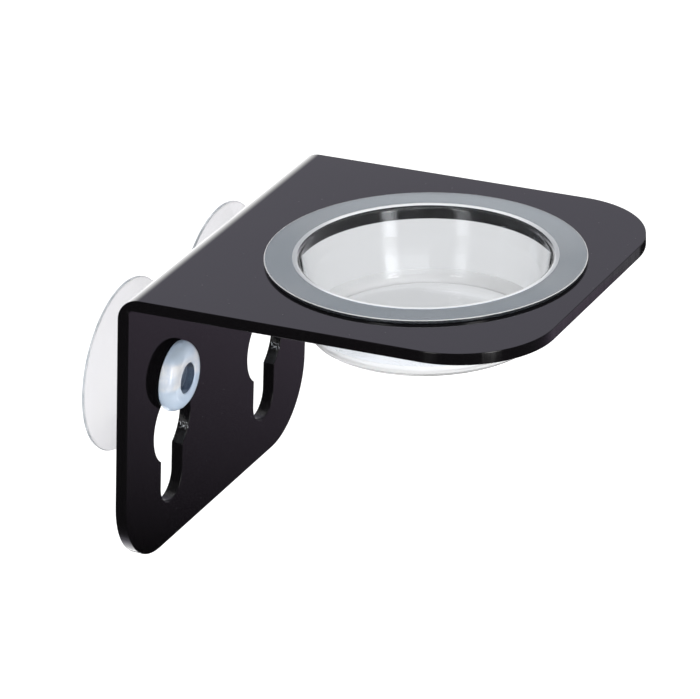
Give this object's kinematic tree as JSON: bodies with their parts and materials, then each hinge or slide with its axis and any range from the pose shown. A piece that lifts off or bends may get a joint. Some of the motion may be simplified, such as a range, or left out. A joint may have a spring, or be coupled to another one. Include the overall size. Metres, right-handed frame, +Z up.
{
  "type": "gecko feeding ledge",
  "caption": "Bent black sheet ledge that hangs by keyholes on clear suction cups and holds a lift-out clear feeding cup in a round hole.",
  "frame": {"origin": "on the glass plane, midway between the axes of the suction cups", "axes": "+X to the right seen from the front, +Y into the glass, +Z up"},
  "size_m": [0.1, 0.1133, 0.081],
  "materials": {
    "black_acrylic": "gloss black cast acrylic sheet, laser-cut edges",
    "clear_cup": "clear thin-walled moulded plastic",
    "clear_vinyl": "clear soft vinyl with a faint blue cast"
  },
  "bodies": {
    "suction_cups": {"suction_cup_left": "clear_vinyl", "suction_cup_right": "clear_vinyl"},
    "bracket": {"bracket": "black_acrylic"},
    "feeding_cup": {"feeding_cup": "clear_cup"}
  },
  "joints": [
    {"name": "bracket_lift", "type": "slide", "parent": "suction_cups", "child": "bracket", "axis": [0, 0, 1], "range_m": [0, 0.0289]},
    {"name": "cup_lift", "type": "slide", "parent": "bracket", "child": "feeding_cup", "axis": [0, 0.0523, 0.9986], "range_m": [0, 0.026]}
  ]
}
